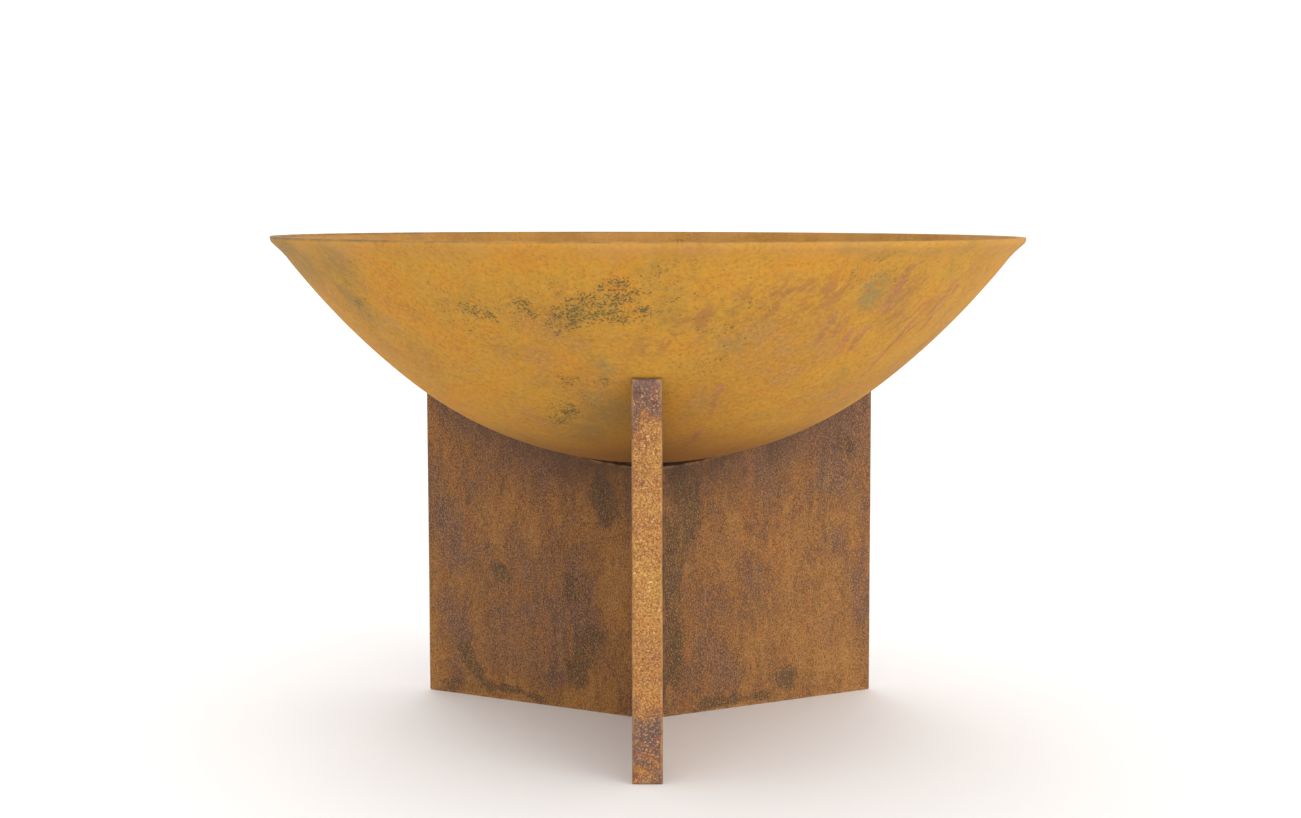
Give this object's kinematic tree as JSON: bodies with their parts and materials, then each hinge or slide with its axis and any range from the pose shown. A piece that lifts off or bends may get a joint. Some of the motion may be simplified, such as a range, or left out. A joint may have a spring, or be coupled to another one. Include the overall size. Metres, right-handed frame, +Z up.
{
  "type": "fire pit",
  "caption": "Wide shallow fire bowl with a thickened lip, resting on upright hollow blades set at equal angles, with a lift-out bar grate inside.",
  "frame": {"origin": "on the ground under the middle of the bowl", "axes": "+Z up, -Y along the blade called front, +X to the right of someone who faces that blade"},
  "size_m": [0.7999, 0.8, 0.5252],
  "materials": {
    "bowl_casting": "matte yellow-ochre rust",
    "base_sheet": "rough dark brown rust",
    "grate_steel": "rough dark rust with ash"
  },
  "bodies": {
    "base": {"hub_tube": "base_sheet", "hub_cap": "base_sheet", "blade_shell_front": "base_sheet", "blade_shell_back_left": "base_sheet", "blade_shell_back_right": "base_sheet", "saddle_strip_front": "base_sheet", "saddle_strip_back_left": "base_sheet", "saddle_strip_back_right": "base_sheet", "base_strip_front": "base_sheet", "base_strip_back_left": "base_sheet", "base_strip_back_right": "base_sheet"},
    "bowl": {"bowl": "bowl_casting"},
    "grate": {"grate_ring": "grate_steel", "grate_cross_bar_front": "grate_steel", "grate_cross_bar_back": "grate_steel", "grate_bar_1": "grate_steel", "grate_bar_2": "grate_steel", "grate_bar_3": "grate_steel", "grate_bar_4": "grate_steel", "grate_bar_5": "grate_steel", "grate_bar_6": "grate_steel", "grate_bar_7": "grate_steel", "grate_bar_8": "grate_steel", "grate_bar_9": "grate_steel", "grate_bar_10": "grate_steel", "grate_bar_11": "grate_steel", "grate_handle_left": "grate_steel", "grate_handle_right": "grate_steel"}
  },
  "joints": [
    {"name": "bowl_lift", "type": "slide", "parent": "base", "child": "bowl", "axis": [0, 0, 1], "range_m": [0, 0.15]},
    {"name": "grate_lift", "type": "slide", "parent": "bowl", "child": "grate", "axis": [0, 0, 1], "range_m": [0, 0.2]}
  ]
}
